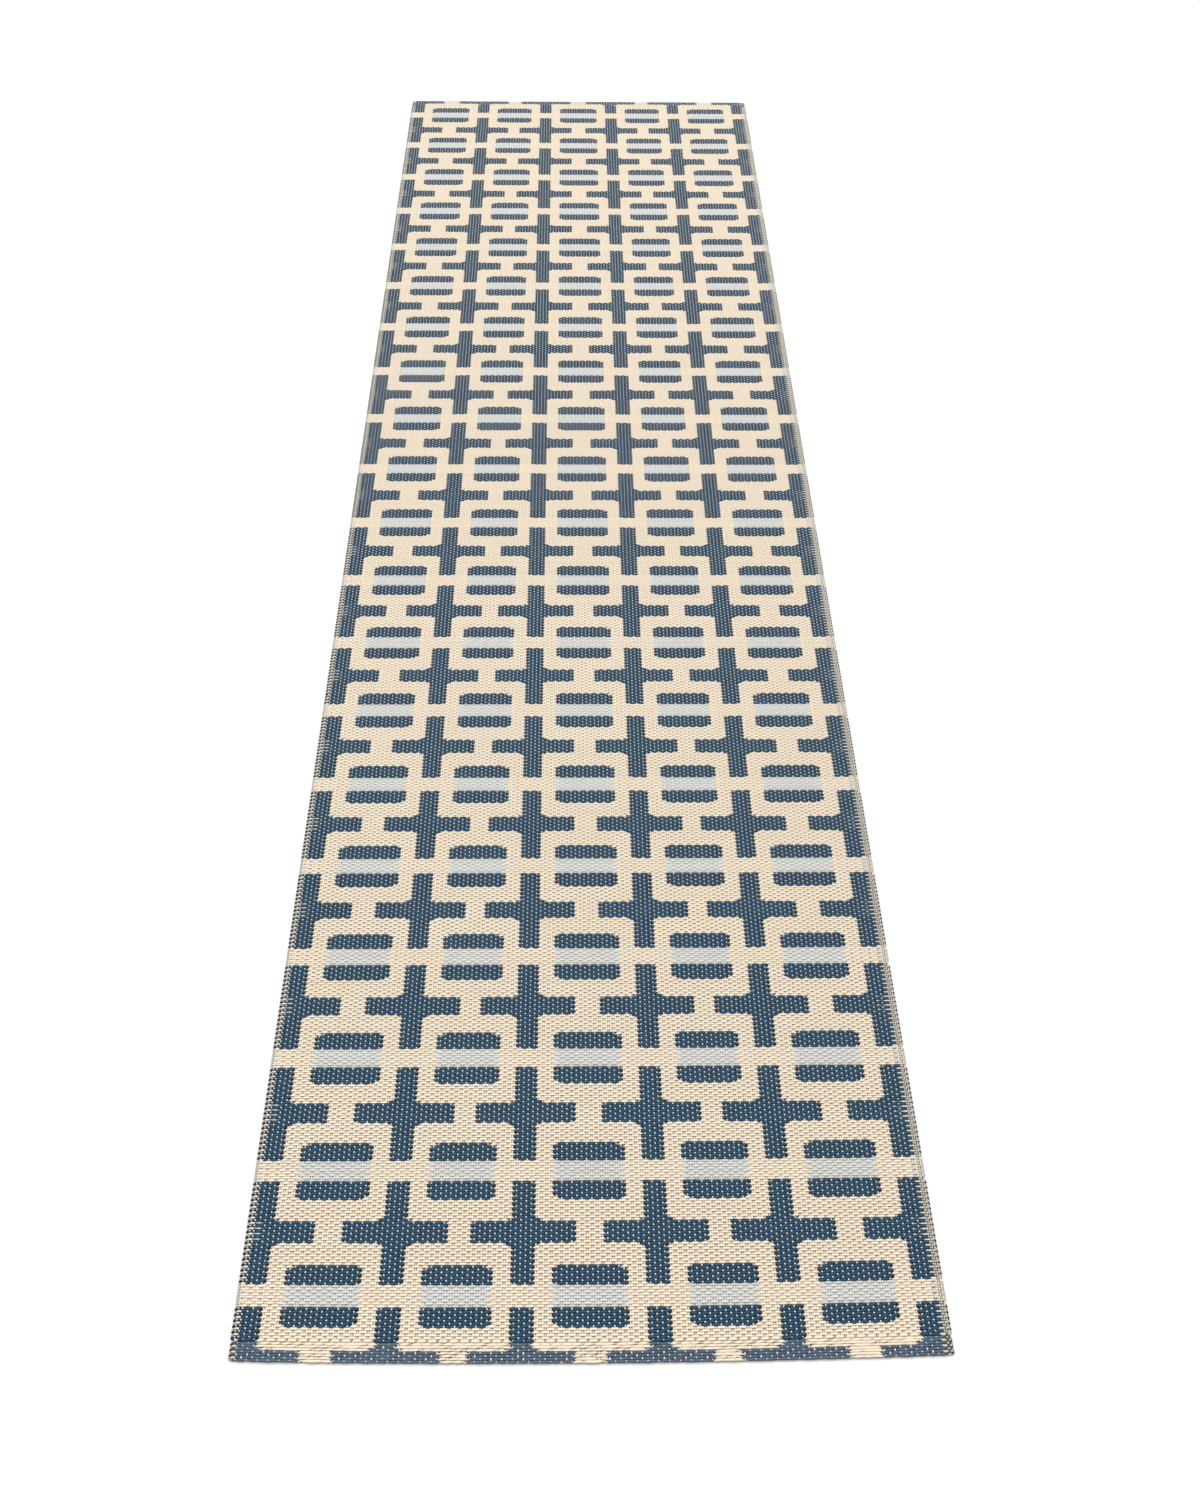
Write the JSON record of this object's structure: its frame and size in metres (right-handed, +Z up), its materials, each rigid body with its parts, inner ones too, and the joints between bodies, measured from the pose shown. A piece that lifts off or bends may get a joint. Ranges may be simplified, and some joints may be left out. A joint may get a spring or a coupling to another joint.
{
  "type": "runner rug",
  "caption": "Long flat woven runner rug of plastic ribbon, with navy crosses and rounded navy and grey squares on cream, turned side edges and pressed ends.",
  "frame": {"origin": "middle of the rug on the floor side, at the centre of the underside", "axes": "+X across the rug, +Y along it, +Z up out of its face"},
  "size_m": [0.7, 2.7, 0.0045],
  "materials": {
    "cream_ribbon": "satin cream plastic ribbon",
    "navy_ribbon": "satin navy plastic ribbon",
    "grey_ribbon": "satin pale grey plastic ribbon",
    "warp_yarn": "matt off-white polyester yarn",
    "turned_ribbon": "satin plastic ribbon, navy and cream turns mixed",
    "pressed_ribbon": "satin heat-pressed plastic"
  },
  "bodies": {
    "root": {"cream_weft": "cream_ribbon", "navy_weft_01": "navy_ribbon", "navy_weft_02": "navy_ribbon", "navy_weft_03": "navy_ribbon", "navy_weft_04": "navy_ribbon", "navy_weft_05": "navy_ribbon", "navy_weft_06": "navy_ribbon", "navy_weft_07": "navy_ribbon", "navy_weft_08": "navy_ribbon", "navy_weft_09": "navy_ribbon", "navy_weft_10": "navy_ribbon", "navy_weft_11": "navy_ribbon", "navy_weft_12": "navy_ribbon", "navy_weft_13": "navy_ribbon", "navy_weft_14": "navy_ribbon", "navy_weft_15": "navy_ribbon", "navy_weft_16": "navy_ribbon", "navy_weft_17": "navy_ribbon", "navy_weft_18": "navy_ribbon", "navy_weft_19": "navy_ribbon", "navy_weft_20": "navy_ribbon", "navy_weft_21": "navy_ribbon", "grey_weft_01": "grey_ribbon", "grey_weft_02": "grey_ribbon", "grey_weft_03": "grey_ribbon", "grey_weft_04": "grey_ribbon", "grey_weft_05": "grey_ribbon", "grey_weft_06": "grey_ribbon", "grey_weft_07": "grey_ribbon", "grey_weft_08": "grey_ribbon", "grey_weft_09": "grey_ribbon", "grey_weft_10": "grey_ribbon", "grey_weft_11": "grey_ribbon", "grey_weft_12": "grey_ribbon", "grey_weft_13": "grey_ribbon", "grey_weft_14": "grey_ribbon", "grey_weft_15": "grey_ribbon", "grey_weft_16": "grey_ribbon", "grey_weft_17": "grey_ribbon", "grey_weft_18": "grey_ribbon", "grey_weft_19": "grey_ribbon", "grey_weft_20": "grey_ribbon", "warp_yarns": "warp_yarn", "left_selvedge": "turned_ribbon", "left_edge_warp": "warp_yarn", "right_selvedge": "turned_ribbon", "right_edge_warp": "warp_yarn", "near_end_band": "pressed_ribbon", "far_end_band": "pressed_ribbon"}
  },
  "joints": []
}
